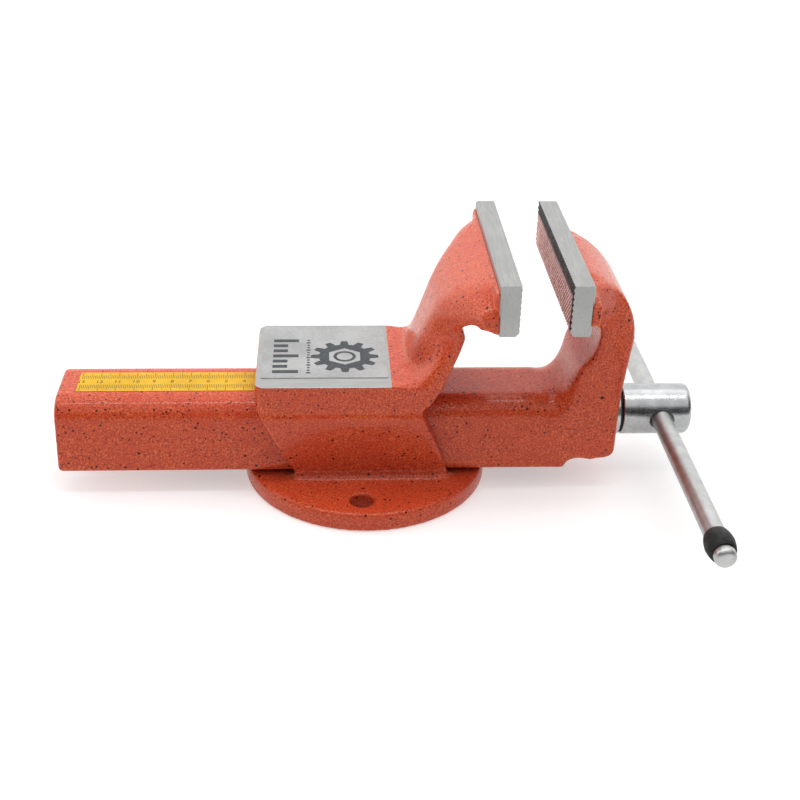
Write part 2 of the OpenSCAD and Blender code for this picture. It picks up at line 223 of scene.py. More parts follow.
# ---- materials ----
class Shader:
    """A material's node tree, with short names for the nodes used here."""

    def __init__(self, name, **plain):
        self.material = bpy.data.materials.new(name)
        self.material.use_nodes = True
        self.tree = self.material.node_tree
        self.surface = self.tree.nodes["Principled BSDF"]
        self.place = self.node("ShaderNodeTexCoord").outputs["Object"]
        for key, value in plain.items():
            self.surface.inputs[key.replace("_", " ")].default_value = value

    def node(self, kind, **settings):
        """A new node of a kind, with its settings."""
        made = self.tree.nodes.new(kind)
        for key, value in settings.items():
            setattr(made, key, value)
        return made

    def feed(self, socket, value):
        """Links a socket to an output, or gives it a plain value."""
        if isinstance(value, bpy.types.NodeSocket):
            self.tree.links.new(value, socket)
        elif value is not None:
            socket.default_value = value

    def set(self, name, value):
        """Feeds one of the surface's own inputs."""
        self.feed(self.surface.inputs[name], value)

    def stretched(self, scales):
        """The object's coordinates, scaled along each axis."""
        made = self.node("ShaderNodeVectorMath", operation="MULTIPLY")
        self.feed(made.inputs[0], self.place)
        self.feed(made.inputs[1], scales)
        return made.outputs[0]

    def noise(self, scale, detail=2.0, vector=None, rough=0.5):
        """Noise from 0 to 1, with scale in bumps per metre."""
        made = self.node("ShaderNodeTexNoise")
        self.feed(made.inputs["Vector"], self.place if vector is None else vector)
        for key, value in (("Scale", scale), ("Detail", detail), ("Roughness", rough)):
            self.feed(made.inputs[key], value)
        return made.outputs["Fac"]

    def math(self, operation, a, b=None):
        """Arithmetic on one or two values."""
        made = self.node("ShaderNodeMath", operation=operation)
        self.feed(made.inputs[0], a)
        self.feed(made.inputs[1], b)
        return made.outputs[0]

    def between(self, value, start, end, low=0.0, high=1.0):
        """low where value is at start, high where it is at end, smoothly."""
        made = self.node("ShaderNodeMapRange", interpolation_type="SMOOTHSTEP")
        self.feed(made.inputs["Value"], value)
        for key, number in (("From Min", start), ("From Max", end), ("To Min", low), ("To Max", high)):
            self.feed(made.inputs[key], number)
        return made.outputs["Result"]

    def ramp(self, value, stops):
        """Colours from (position, colour) stops."""
        made = self.node("ShaderNodeValToRGB")
        self.feed(made.inputs["Fac"], value)
        points = made.color_ramp.elements
        while len(points) < len(stops):
            points.new(1.0)
        for point, (position, colour) in zip(points, stops):
            point.position = position
            point.color = (*colour, 1.0)
        return made.outputs["Color"]

    def mix(self, share, a, b):
        """Colour a where share is 0, and b where it is 1."""
        made = self.node("ShaderNodeMix", data_type="RGBA")
        self.feed(made.inputs["Factor"], share)
        self.feed(made.inputs["A"], (*a, 1.0) if isinstance(a, tuple) else a)
        self.feed(made.inputs["B"], (*b, 1.0) if isinstance(b, tuple) else b)
        return made.outputs["Result"]

    def coordinate(self, axis):
        """The object's X, Y or Z coordinate, in metres."""
        made = self.node("ShaderNodeSeparateXYZ")
        self.feed(made.inputs[0], self.place)
        return made.outputs[axis]

    def bump(self, height, distance, strength, under=None):
        """A bumped normal, on top of another one if given."""
        made = self.node("ShaderNodeBump")
        self.feed(made.inputs["Height"], height)
        self.feed(made.inputs["Distance"], distance)
        self.feed(made.inputs["Strength"], strength)
        if under is not None:
            self.feed(made.inputs["Normal"], under)
        return made.outputs["Normal"]

    def dots(self, cell, share, radius):
        """1 inside scattered blots: cell is their spacing in metres, share how many cells have one,
        and radius the largest, as a share of the cell."""
        wobbles_per_cell, wobble_reach, least = 1.9, 0.28, 0.35
        wobble = self.node("ShaderNodeTexNoise")
        self.feed(wobble.inputs["Vector"], self.place)
        self.feed(wobble.inputs["Scale"], wobbles_per_cell / cell)
        shift = self.node("ShaderNodeVectorMath", operation="SCALE")
        self.feed(shift.inputs[0], wobble.outputs["Color"])
        self.feed(shift.inputs["Scale"], wobble_reach * cell)
        moved = self.node("ShaderNodeVectorMath", operation="ADD")
        self.feed(moved.inputs[0], self.place)
        self.feed(moved.inputs[1], shift.outputs[0])
        cells = self.node("ShaderNodeTexVoronoi")
        self.feed(cells.inputs["Vector"], moved.outputs[0])
        self.feed(cells.inputs["Scale"], 1 / cell)
        chance = self.node("ShaderNodeSeparateColor")
        self.feed(chance.inputs[0], cells.outputs["Color"])
        wanted = self.math("LESS_THAN", chance.outputs[0], share)
        size = self.math("MULTIPLY_ADD", chance.outputs[1], (1 - least) * radius)
        self.feed(size.node.inputs[2], least * radius)
        near = self.math("DIVIDE", cells.outputs["Distance"], size)
        return self.math("MULTIPLY", self.between(near, 1.1, 0.75), wanted)


def speckled_paint(name, heavy=0.0):
    """Glossy hammered orange enamel with dark spatter; heavy adds dots and stains."""
    s = Shader(name, Coat_Weight=0.4, Coat_Roughness=0.15, Specular_IOR_Level=0.2)
    fine = s.noise(1100, 3.0, rough=0.7)
    dark, middle, bright = (0.38, 0.030, 0.012), (0.59, 0.088, 0.034), (0.81, 0.21, 0.078)
    colour = s.ramp(fine, [(0.34, dark), (0.50, middle), (0.66, bright)])
    broad = s.between(s.noise(48, 2.0), 0.35, 0.7, 0.0, 0.35)
    colour = s.mix(broad, colour, (0.58, 0.070, 0.030))
    crowd = s.between(s.noise(26, 2.0), 0.32, 0.62, 0.5 + heavy, 1.0)
    small = s.dots(1.3 * MM, s.math("MULTIPLY", crowd, 0.62), 0.24)
    large = s.dots(2.8 * MM, s.math("MULTIPLY", crowd, 0.7 + 0.3 * heavy), 0.26)
    blots = s.dots(8.5 * MM, s.math("MULTIPLY", crowd, 0.6), 0.12)
    spatter = s.math("MAXIMUM", s.math("MULTIPLY", small, 0.8), s.math("MAXIMUM", large, blots))
    colour = s.mix(spatter, colour, (0.020, 0.004, 0.004))
    s.set("Base Color", colour)
    s.set("Roughness", s.between(s.noise(420, 2.0), 0.3, 0.7, 0.24, 0.4))
    peel = s.bump(s.noise(620, 2.0), 0.32 * MM, 0.55)
    s.set("Normal", s.bump(s.noise(150, 2.0), 0.5 * MM, 0.5, peel))
    return s.material


def ground_steel(name, grain, colour, rough):
    """Bright ground steel. grain is the noise scale along X, Y and Z: low along the marks."""
    s = Shader(name, Metallic=1.0)
    marks = s.noise(1.0, 3.0, s.stretched(grain), 0.7)
    cloud = s.noise(55, 3.0)
    dark = tuple(0.80 * c for c in colour)
    s.set("Base Color", s.mix(s.between(marks, 0.35, 0.65), dark, colour))
    s.set("Roughness", s.between(s.math("ADD", marks, cloud), 0.6, 1.4, rough - 0.05, rough + 0.12))
    s.set("Normal", s.bump(marks, 0.05 * MM, 0.5))
    return s.material


def bright_chrome(name, colour, rough):
    """Plated or drawn bright metal, faintly hazed and scuffed along X."""
    s = Shader(name, Metallic=1.0)
    scuffs = s.noise(1.0, 4.0, s.stretched((220, 900, 900)), 0.75)
    haze = s.noise(170, 3.0)
    s.set("Base Color", s.mix(s.between(haze, 0.35, 0.7), tuple(0.86 * c for c in colour), colour))
    s.set("Roughness", s.between(scuffs, 0.35, 0.75, rough - 0.03, rough + 0.14))
    fine_marks = s.bump(scuffs, 0.03 * MM, 0.35)
    s.set("Normal", s.bump(s.noise(260, 2.0), 0.06 * MM, 0.35, fine_marks))
    return s.material


def dull_metal(name, dark, light, rough, grain=600, metallic=0.9, lump=0.08):
    """Metal of the thread, nut and fixings; lump is the depth of its surface in millimetres."""
    s = Shader(name, Metallic=metallic)
    spots = s.noise(grain, 4.0, rough=0.7)
    cloud = s.noise(60, 2.0)
    s.set("Base Color", s.mix(s.between(s.math("ADD", spots, cloud), 0.7, 1.3), dark, light))
    s.set("Roughness", s.between(cloud, 0.3, 0.7, rough - 0.08, rough + 0.1))
    s.set("Normal", s.bump(spots, lump * MM, 0.5))
    return s.material


def knurled_steel(name, crest_x, root_x, low, high):
    """Knurled steel with red in its grooves, a painted highlight on its tips, and a dark border at its
    top and its near end. The teeth reach from root_x to crest_x, and low and high are the plate's box."""
    s = Shader(name, Metallic=0.35)
    # Painted highlight: the teeth's tips are coloured near white, most at the crests, in place of
    # glints of light
    glint_by_height = s.between(s.coordinate("X"), root_x, crest_x)
    painted_tip_glint = s.math("MULTIPLY", glint_by_height, s.between(s.noise(240, 3.0), 0.25, 0.6, 0.55, 1.0))
    groove = s.mix(s.noise(900, 3.0), (0.26, 0.018, 0.012), (0.50, 0.055, 0.040))
    inside = s.mix(painted_tip_glint, groove, (0.86, 0.72, 0.68))
    black = s.mix(s.noise(1100, 3.0), (0.012, 0.011, 0.011), (0.060, 0.052, 0.050))
    ragged = s.math("MULTIPLY", s.noise(420, 3.0), 1.6 * MM)
    top = s.math("ADD", s.coordinate("Z"), ragged)
    near = s.math("ADD", s.coordinate("Y"), s.math("MULTIPLY", ragged, -1.0))
    top_border = s.between(top, high.z - 8.0 * MM, high.z - 4.6 * MM)
    near_border = s.between(near, low.y + 4.4 * MM, low.y + 2.4 * MM)
    border = s.math("MAXIMUM", top_border, near_border)
    s.set("Base Color", s.mix(border, inside, black))
    s.set("Roughness", s.between(s.noise(500, 2.0), 0.3, 0.7, 0.34, 0.52))
    s.set("Normal", s.bump(s.noise(1400, 3.0), 0.04 * MM, 0.5))
    return s.material


def moulded_rubber(name):
    """Black rubber, a little dusty."""
    s = Shader(name, Specular_IOR_Level=0.4)
    dust = s.between(s.noise(130, 3.0), 0.45, 0.8)
    s.set("Base Color", s.mix(dust, (0.013, 0.013, 0.014), (0.048, 0.047, 0.046)))
    s.set("Roughness", s.between(s.noise(300, 2.0), 0.3, 0.7, 0.5, 0.72))
    s.set("Normal", s.bump(s.noise(1600, 3.0), 0.06 * MM, 0.6))
    return s.material


def printed_sheet(name, dark, light, rough, metallic=0.0):
    """Thin printed foil: nearly even colour with faint clouding and fine grain."""
    s = Shader(name, Metallic=metallic, Specular_IOR_Level=0.3)
    grain = s.noise(900, 3.0, rough=0.6)
    cloud = s.noise(45, 2.0)
    s.set("Base Color", s.mix(s.between(s.math("ADD", grain, cloud), 0.75, 1.25), dark, light))
    s.set("Roughness", s.between(grain, 0.3, 0.7, rough - 0.05, rough + 0.08))
    s.set("Normal", s.bump(cloud, 0.05 * MM, 0.5, s.bump(grain, 0.02 * MM, 0.4)))
    return s.material


def flat_ink(name, dark, light):
    """Dry printing ink with fine grain."""
    s = Shader(name)
    s.set("Base Color", s.mix(s.between(s.noise(1500, 3.0), 0.35, 0.7), dark, light))
    s.set("Roughness", s.between(s.noise(400, 2.0), 0.3, 0.7, 0.45, 0.62))
    return s.material


body_paint = speckled_paint("body_paint")
jaw_paint = speckled_paint("jaw_paint", heavy=0.45)
anvil_steel = ground_steel("anvil_steel", (70, 1900, 1900), (0.47, 0.47, 0.465), 0.42)
plate_steel = ground_steel("plate_steel", (1900, 70, 1900), (0.45, 0.45, 0.442), 0.4)
fixed_tooth = 0.3 * MM  # how deep the teeth are cut into each gripping face
moving_tooth = 0.55 * MM
fixed_face_x = fixed_plate_high.x
moving_face_x = moving_plate_low.x
fixed_teeth = knurled_steel(
    "fixed_teeth", fixed_face_x, fixed_face_x - fixed_tooth, fixed_plate_low, fixed_plate_high
)
moving_teeth = knurled_steel(
    "moving_teeth", moving_face_x, moving_face_x + moving_tooth, moving_plate_low, moving_plate_high
)
chrome = bright_chrome("screw_chrome", (0.50, 0.505, 0.51), 0.24)
bar_finish = bright_chrome("bar_finish", (0.56, 0.565, 0.56), 0.40)
thread_steel = dull_metal("thread_steel", (0.20, 0.19, 0.18), (0.42, 0.41, 0.40), 0.36, 500, 1.0, 0.04)
washer_steel = ground_steel("washer_steel", (900, 900, 900), (0.62, 0.62, 0.62), 0.3)
hardware = dull_metal("hardware_finish", (0.10, 0.10, 0.11), (0.26, 0.26, 0.27), 0.42)
cast_iron = dull_metal("nut_casting", (0.07, 0.065, 0.06), (0.19, 0.18, 0.17), 0.62, 380, 0.75, 0.25)
brass = dull_metal("bushing_finish", (0.48, 0.30, 0.10), (0.72, 0.50, 0.20), 0.34, 450, 1.0, 0.04)
rubber = moulded_rubber("moulded_rubber")
seal_rubber = moulded_rubber("seal_rubber")
rule_yellow = printed_sheet("rule_foil", (0.62, 0.36, 0.008), (0.74, 0.46, 0.014), 0.42)
label_silver = printed_sheet("label_foil", (0.36, 0.36, 0.36), (0.47, 0.47, 0.47), 0.42, 0.55)
rule_ink = flat_ink("rule_ink", (0.055, 0.030, 0.010), (0.12, 0.070, 0.020))
label_ink = flat_ink("label_ink", (0.040, 0.048, 0.055), (0.075, 0.085, 0.092))


# ---- castings ----
# Each mask below is a product of eases over X, Y and Z in millimetres, 1 inside its zone.
def even_skin(node):
    """A CAD casting rebuilt from small even faces, ready to be relaxed."""
    return evaluated(cad_mesh(node), "REMESH", mode="VOXEL", voxel_size=CASTING_VOXEL)


def soften(mesh, machined):
    """Rounds a casting's edges by about a millimetre, far less where it is machined."""
    relax(mesh, 6, 0.5 * (1 - 0.86 * machined))


def fixed_casting():
    """The painted body and fixed jaw arm, with its anvil face ground bare."""
    mesh = even_skin("fixed_body")
    x, y, z = points_of(mesh).T / MM
    anvil = anvil_z / MM
    anvil_face = ease(z, anvil - 4, anvil - 1) * ease(x, 18, 12)
    plate_seat = ease(x, 61.5, 63)
    underside = ease(z, 1.5, 0.6)
    bar_channel = ease(np.abs(y), 31, 29.5) * ease(z, 57.5, 56)
    soften(mesh, np.maximum.reduce([anvil_face, plate_seat, underside, bar_channel]))
    # The arm is rounded much more, but not its throat's edge and not the pads beside the plate
    x, y, z = points_of(mesh).T / MM
    arm = ease(z, anvil - 3, anvil + 5) * ease(x, 62.5, 58) * ease(x, 16, 22)
    throat_edge = ease(x - (0.38 * (z - 57) + 34), -5, -1)
    pad = ease(x, 52, 56) * np.maximum(ease(np.abs(y), 51, 56), ease(x, 59, 62))
    kept = np.maximum(0.88 * throat_edge, 0.95 * pad)
    relax(mesh, 66, RELAX_STEP * arm * (1 - kept))
    # The seat closes on the plate's back, so that no gap shows
    press(mesh, ease(x, 61.6, 62.8) * ease(z, 104, 106), 0.6 * MM)
    # The walls run into the flange in a soft fillet
    foot = ease(z, 10, 11.2) * ease(z, 22, 16) * ease(np.abs(y), 27, 30) * ease(np.abs(y), 46, 43)
    relax(mesh, 30, RELAX_STEP * foot)
    bm = bmesh.new()
    bm.from_mesh(mesh)
    paint_line_z = anvil_z - 0.22 * MM
    cut(bm, (anvil_end_x, 0, 0), (1, 0, 0))
    cut(bm, (0, 0, paint_line_z), (0, 0, 1))
    for face in bm.faces:
        middle = face.calc_center_median()
        bare = middle.x < anvil_end_x and middle.z > paint_line_z
        face.material_index = 1 if bare else 0
    mesh = mesh_of("fixed_casting", bm)
    shade(mesh)
    finishes = [body_paint, anvil_steel]
    piece("fixed_casting", mesh, "vise_body", finishes, ["fixed_body"])


def moving_casting():
    """The painted sliding bar and moving jaw arm."""
    mesh = even_skin("moving_jaw")
    x, y, z = points_of(mesh).T / MM
    seat = moving_plate_high.x / MM
    plate_seat = ease(z, 108, 112) * ease(x, seat + 1.6, seat + 0.5)
    screw_boss = ease(x, 138.4, 139) * ease(np.hypot(y, z - screw_z / MM), 17, 14)
    soften(mesh, np.maximum(plate_seat, screw_boss))
    # The wing behind the plate and the throat under it are rounded more, the pad's ends are not
    x, y, z = points_of(mesh).T / MM
    pad_end = ease(x, seat + 6.5, seat + 4.5) * ease(np.abs(y), 48, 53)
    wing = ease(z, 104, 112) * ease(x, seat + 2.2, seat + 4.5) * (1 - 0.95 * pad_end) * 0.25
    throat = ease(z, 56, 62) * ease(x, 104, 108) * 0.3 * (1 - pad_end)
    relax(mesh, 55, RELAX_STEP * np.maximum(wing, throat))
    # The arm grows out of the bar in a wide soft blend
    root = ease(z, 13.8, 20) * ease(z, 84, 60) * ease(x, 96, 102) * ease(x, 126, 112)
    relax(mesh, 160, RELAX_STEP * root)
    press(mesh, ease(x, seat + 2.4, seat + 1.2) * ease(z, 110, 112), -0.6 * MM)
    shade(mesh)
    piece("moving_casting", mesh, "sliding_jaw", [jaw_paint], ["moving_jaw"])


# ---- jaw plates ----
def toothed_plate(name, node, body, teeth, tooth_depth, faces_plus_x):
    """A jaw plate whose gripping face is cut into rows of flat-topped diamonds."""
    low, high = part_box(node)
    side = 1 if faces_plus_x else -1
    face_x = high.x if faces_plus_x else low.x
    back_x = low.x if faces_plus_x else high.x
    diagonal = 3.2 * MM
    chamfer = 2 * MM  # along the bottom edge of the gripping face
    back_bevel = 0.9 * MM
    tip = 0.36  # a diamond's flat top, as a share of its base
    bm = bmesh.new()
    corners = {}

    def corner(i, j):
        if (i, j) not in corners:
            root_x = face_x - side * tooth_depth
            corners[i, j] = bm.verts.new((root_x, low.y + i * diagonal / 2, low.z + j * diagonal / 2))
        return corners[i, j]

    columns = int((high.y - low.y) / diagonal * 2) + 4
    rows = int((high.z - low.z) / diagonal * 2) + 4
    for i in range(-2, columns):
        for j in range(-2, rows):
            if (i + j) % 2:
                continue
            around = [corner(i + 1, j), corner(i, j + 1), corner(i - 1, j), corner(i, j - 1)]
            middle = Vector((face_x, low.y + i * diagonal / 2, low.z + j * diagonal / 2))
            top = []
            for vert in around:
                out = vert.co - middle
                top.append(bm.verts.new((face_x, middle.y + tip * out.y, middle.z + tip * out.z)))
            bm.faces.new(top)
            for k in range(4):
                bm.faces.new((around[k], around[(k + 1) % 4], top[(k + 1) % 4], top[k]))
    cut(bm, (0, high.y, 0), (0, 1, 0), keep_back=True)
    cut(bm, (0, low.y, 0), (0, -1, 0), keep_back=True)
    cut(bm, (0, 0, high.z), (0, 0, 1), keep_back=True)
    cut(bm, (0, 0, low.z + chamfer), (0, 0, -1), keep_back=True)
    for face in bm.faces:
        face.material_index = 1

    def carry_back(x, shrink):
        """Extends the open rim to the plane x, drawn in by shrink, and ends the chamfer."""
        rim = [e for e in bm.edges if e.is_boundary]
        grown = bmesh.ops.extrude_edge_only(bm, edges=rim)["geom"]
        for face in (g for g in grown if isinstance(g, bmesh.types.BMFace)):
            face.material_index = 0
        for vert in (g for g in grown if isinstance(g, bmesh.types.BMVert)):
            if vert.co.z < low.z + chamfer + 0.01 * MM:
                vert.co.z = low.z
            vert.co.x = x
            vert.co.y = min(max(vert.co.y, low.y + shrink), high.y - shrink)
            vert.co.z = min(max(vert.co.z, low.z + shrink), high.z - shrink)

    carry_back(face_x - side * chamfer, 0)
    carry_back(back_x + side * back_bevel, 0)
    carry_back(back_x, back_bevel)
    rim = [e for e in bm.edges if e.is_boundary]
    for face in bmesh.ops.edgeloop_fill(bm, edges=rim)["faces"]:
        face.material_index = 0
    bmesh.ops.recalc_face_normals(bm, faces=bm.faces)
    mesh = mesh_of(name, bm)
    shade(mesh, 25)
    piece(name, mesh, body, [plate_steel, teeth], [node])


# ---- screw ----
def screw_thread():
    """The trapezoidal thread: one profile swept up a helix and cut square at both ends."""
    pitch = 4 * MM
    steps = 40  # sides of one turn
    depth = 2.2 * MM
    lead_in = 2 * MM  # the taper at the screw's free end
    start_x = screw_low.x
    end_x = collar_low.x - 1 * MM
    turns = int((end_x - start_x) / pitch) + 3
    # (share of the pitch, depth below the crest) along one turn
    profile = [(0.0, 0.0), (0.366, 0.0), (0.5, depth), (0.866, depth), (1.0, 0.0)]
    bm = bmesh.new()
    strip = []
    for i in range(turns * steps + 1):
        turn = i / steps
        angle = 2 * math.pi * turn
        ring = []
        for along, down in profile:
            x = start_x - pitch + pitch * (turn + along)
            r = min(screw_r - down, screw_r - lead_in + max(0.0, x - start_x))
            ring.append(bm.verts.new((x, -r * math.sin(angle), screw_z + r * math.cos(angle))))
        strip.append(ring)
    for a, b in zip(strip, strip[1:]):
        for k in range(len(profile) - 1):
            bm.faces.new((a[k], a[k + 1], b[k + 1], b[k]))
    bmesh.ops.remove_doubles(bm, verts=bm.verts, dist=THREAD_WELD)
    for x, way in ((start_x, -1), (end_x, 1)):
        cut(bm, (x, 0, 0), (way, 0, 0), keep_back=True)
    bmesh.ops.holes_fill(bm, edges=[e for e in bm.edges if e.is_boundary])
    bmesh.ops.recalc_face_normals(bm, faces=bm.faces)
    mesh = mesh_of("screw_thread", bm)
    shade(mesh, 30)
    piece("screw_thread", mesh, "screw", [thread_steel])


def screw_head():
    """The plain shank and the turned head with its countersunk hole for the handle."""
    head_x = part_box("dust_seal")[1].x + 0.15 * MM
    shank_x = collar_low.x - 1.2 * MM
    shank_bevel = 0.3 * MM
    back_r = 0.8 * MM  # rounding of the head's back edge
    round_r = 3 * MM  # and of its outer one
    profile = [(0, shank_x), (screw_r - shank_bevel, shank_x)]
    profile += [(screw_r, shank_x + shank_bevel), (screw_r, head_x)]
    profile += arc(head_r - back_r, head_x + back_r, back_r, -90, 0, 4)
    body_steps = 16
    run = screw_high.x - round_r - head_x - back_r
    profile += [(head_r, head_x + back_r + run * i / body_steps) for i in range(1, body_steps)]
    profile += arc(head_r - round_r, screw_high.x - round_r, round_r, 0, 90, 10)
    profile += [(0, screw_high.x)]
    bm = lathe(profile, 128)
    bm.transform(ALONG_SCREW)
    solid = mesh_of("screw_head", bm)
    hole_r = handle_r + 0.06 * MM
    flare = 1.6 * MM  # depth of the 45-degree countersinks
    reach = head_r + 2 * MM
    rim = head_r - flare
    wide = hole_r + reach - rim
    half = [(hole_r, rim), (wide, reach), (0, reach)]
    cutter = lathe([(r, -z) for r, z in reversed(half)] + half, 72)
    cutter.transform(along_handle(1))
    tool = bpy.data.objects.new("hole_tool", mesh_of("hole_tool", cutter))
    scene.collection.objects.link(tool)
    mesh = evaluated(solid, "BOOLEAN", operation="DIFFERENCE", solver="EXACT", object=tool)
    bpy.data.objects.remove(tool)
    shade(mesh, 32)
    piece("screw_head", mesh, "screw", [chrome], ["main_screw"])


def ring_piece(name, node, body, material, bore, edge):
    """A washer or seal with rounded outer edges, in the space of its CAD node."""
    low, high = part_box(node)
    r = (high.z - low.z) / 2
    outline = [(bore, low.x)] + arc(r - edge, low.x + edge, edge, -90, 0, 4)
    outline += arc(r - edge, high.x - edge, edge, 0, 90, 4) + [(bore, high.x)]
    bm = lathe(outline, 112)
    bm.transform(ALONG_SCREW)
    mesh = mesh_of(name, bm)
    shade(mesh, 35)
    piece(name, mesh, body, [material], [node])


# ---- handle ----
SPIGOT_R = 4 * MM  # the handle's turned-down ends


def bumper_piece(name, node, side):
    """A barrel-shaped rubber stop with rolled ends and a moulding line round its middle."""
    low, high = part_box(node)
    r = (high.z - low.z) / 2
    start = low.y if side > 0 else -high.y
    length = high.y - low.y
    neck = handle_r + 0.9 * MM
    lip = 0.7 * MM
    line = 0.12 * MM  # height of the moulding line
    barrel = r - line - neck
    count = 28
    outline = [(SPIGOT_R, 0)] + arc(neck - lip, lip, lip, -90, 20, 5)
    for i in range(1, count):
        t = i / count
        seam = line if 2 * i == count else 0.0
        swell = math.sin(math.pi * t) ** 0.8
        outline.append((neck + barrel * swell + seam, lip + (length - 2 * lip) * t))
    outline += arc(neck - lip, length - lip, lip, -20, 90, 5) + [(SPIGOT_R, length)]
    bm = lathe(outline, 72)
    bm.transform(along_handle(side) @ Matrix.Translation((0, 0, start)))
    mesh = mesh_of(name, bm)
    shade(mesh, 50)
    piece(name, mesh, "handle", [rubber], [node])


def knob_piece(name, node, side):
    """The short turned knob that closes an end of the handle bar."""
    low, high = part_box(node)
    start = low.y if side > 0 else -high.y
    length = high.y - low.y
    round_r = 2.7 * MM
    back_r = 0.3 * MM
    depth = 3.2 * MM  # of the bore that takes the spigot
    outline = [(0, depth), (SPIGOT_R, depth), (SPIGOT_R, 0)]
    outline += arc(handle_r - back_r, back_r, back_r, -90, 0, 3)
    outline += arc(handle_r - round_r, length - round_r, round_r, 0, 90, 12) + [(0, length)]
    bm = lathe(outline, 72)
    bm.transform(along_handle(side) @ Matrix.Translation((0, 0, start)))
    mesh = mesh_of(name, bm)
    shade(mesh, 35)
    piece(name, mesh, "handle", [bar_finish], [node])


# ---- rule and label ----
def slab(bm, outline, z0, z1, hole=None):
    """A flat plate from an XY outline, with an optional hole that has as many points."""
    n = len(outline)

    def ring(points, z):
        return [bm.verts.new((x, y, z)) for x, y in points]

    outer_low, outer_high = ring(outline, z0), ring(outline, z1)
    for i in range(n):
        j = (i + 1) % n
        bm.faces.new((outer_low[i], outer_low[j], outer_high[j], outer_high[i]))
    if hole is None:
        bm.faces.new(outer_high)
        bm.faces.new(outer_low[::-1])
        return
    inner_low, inner_high = ring(hole, z0), ring(hole, z1)
    for i in range(n):
        j = (i + 1) % n
        bm.faces.new((inner_low[j], inner_low[i], inner_high[i], inner_high[j]))
        bm.faces.new((outer_high[i], outer_high[j], inner_high[j], inner_high[i]))
        bm.faces.new((outer_low[j], outer_low[i], inner_low[i], inner_low[j]))


def box_outline(x0, y0, x1, y1, r=0.0):
    """The XY outline of a rectangle, with rounded corners where r is given."""
    if r <= 0:
        return [(x0, y0), (x1, y0), (x1, y1), (x0, y1)]
    points = arc(x1 - r, y0 + r, r, -90, 0, 4) + arc(x1 - r, y1 - r, r, 0, 90, 4)
    return points + arc(x0 + r, y1 - r, r, 90, 180, 4) + arc(x0 + r, y0 + r, r, 180, 270, 4)


def sheet_piece(name, node, body, material, corner):
    """A flat sheet with rounded corners, in the space of its CAD node."""
    low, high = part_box(node)
    bm = bmesh.new()
    slab(bm, box_outline(low.x, low.y, high.x, high.y, corner), low.z, high.z)
    bmesh.ops.recalc_face_normals(bm, faces=bm.faces)
    mesh = mesh_of(name, bm)
    shade(mesh, 30)
    piece(name, mesh, body, [material], [node])


def add_number(bm, number, x, y, z, height):
    """Sets a number's digits, as thin solids, with their middle at x, y."""
    digit_share = 0.7  # a digit's height as a share of the font's size
    curve = bpy.data.curves.new("digits", "FONT")
    curve.body = str(number)
    curve.size = height / digit_share
    curve.align_x = "CENTER"
    curve.align_y = "CENTER"
    curve.extrude = INK / 2
    curve.resolution_u = 2
    holder = bpy.data.objects.new("digits", curve)
    scene.collection.objects.link(holder)
    graph = bpy.context.evaluated_depsgraph_get()
    graph.update()
    mesh = bpy.data.meshes.new_from_object(holder.evaluated_get(graph))
    bpy.data.objects.remove(holder)
    mesh.transform(Matrix.Translation((x, y, z + INK / 2)))
    bm.from_mesh(mesh)
    bpy.data.meshes.remove(mesh)


def rule_marks():
    """Two rows of millimetre marks, longer at 5 and 10 mm, with centimetre numbers between."""
    longest = 13  # the centimetre number that starts the rule
    first_x = rule_low.x + 1.5 * MM
    zero_x = first_x + longest * 10 * MM
    top = rule_high.z
    half = (rule_high.y - rule_low.y) / 2
    root = half - 7.4 * MM  # where every mark begins, next to the numbers
    bm = bmesh.new()
    count = int((rule_high.x - 1 * MM - first_x) / MM)
    for i in range(count + 1):
        x = first_x + i * MM
        margin = (0.8 if i % 10 == 0 else 1.9 if i % 5 == 0 else 3.5) * MM
        half_width = (0.15 if i % 10 == 0 else 0.12) * MM
        for row in (1, -1):
            y0, y1 = sorted((row * root, row * (half - margin)))
            slab(bm, box_outline(x - half_width, y0, x + half_width, y1), top, top + INK)
    for number in range(longest, -1, -1):
        add_number(bm, number, zero_x - number * 10 * MM, 0, top, 3.0 * MM)
    bmesh.ops.remove_doubles(bm, verts=bm.verts, dist=CUT_WELD)
    bmesh.ops.recalc_face_normals(bm, faces=bm.faces)
    piece("rule_marks", mesh_of("rule_marks", bm), "sliding_jaw", [rule_ink])


def label_print():
    """A plain emblem: a gear round a hexagon, a comb of bars and a dotted line."""
    top = label_high.z
    steps = 144  # points of each ring
    teeth = 12
    middle = Vector((label_high.x - 23 * MM, label_low.y + 25 * MM))
    bm = bmesh.new()

    def ring_points(radius):
        turns = [2 * math.pi * i / steps for i in range(steps)]
        return [(middle.x + radius(t) * math.cos(t), middle.y + radius(t) * math.sin(t)) for t in turns]

    def gear(t):
        steep = 3.2  # how steep the teeth's flanks are
        return 16.5 * MM + 2.2 * MM * min(1.0, max(-1.0, steep * math.cos(teeth * t)))

    def hexagon(t):
        return 8.6 * MM / math.cos((t + math.pi / 6) % (math.pi / 3) - math.pi / 6)

    slab(bm, ring_points(gear), top, top + INK, ring_points(hexagon))
    slab(bm, ring_points(lambda t: 6.2 * MM), top, top + INK, ring_points(lambda t: 4.4 * MM))
    bar_x = label_low.x + 6 * MM
    bar_y = label_low.y + 5.5 * MM
    bar_width, bar_spacing = 3.4 * MM, 6.2 * MM
    for k, length in enumerate((14, 8, 8, 14, 8, 8, 14)):
        y = bar_y + k * bar_spacing
        slab(bm, box_outline(bar_x, y, bar_x + length * MM, y + bar_width), top, top + INK)
    dot_x = label_low.x + 25.5 * MM
    dot_y = label_low.y + 5 * MM
    dot, dot_spacing, corner = 1.5 * MM, 3 * MM, 0.5 * MM
    for k in range(14):
        y = dot_y + k * dot_spacing
        half = (dot if k % 3 else 2.4 * MM) / 2
        slab(bm, box_outline(dot_x - half, y, dot_x + half, y + dot, corner), top, top + INK)
    bmesh.ops.recalc_face_normals(bm, faces=bm.faces)
    piece("label_print", mesh_of("label_print", bm), "vise_body", [label_ink])


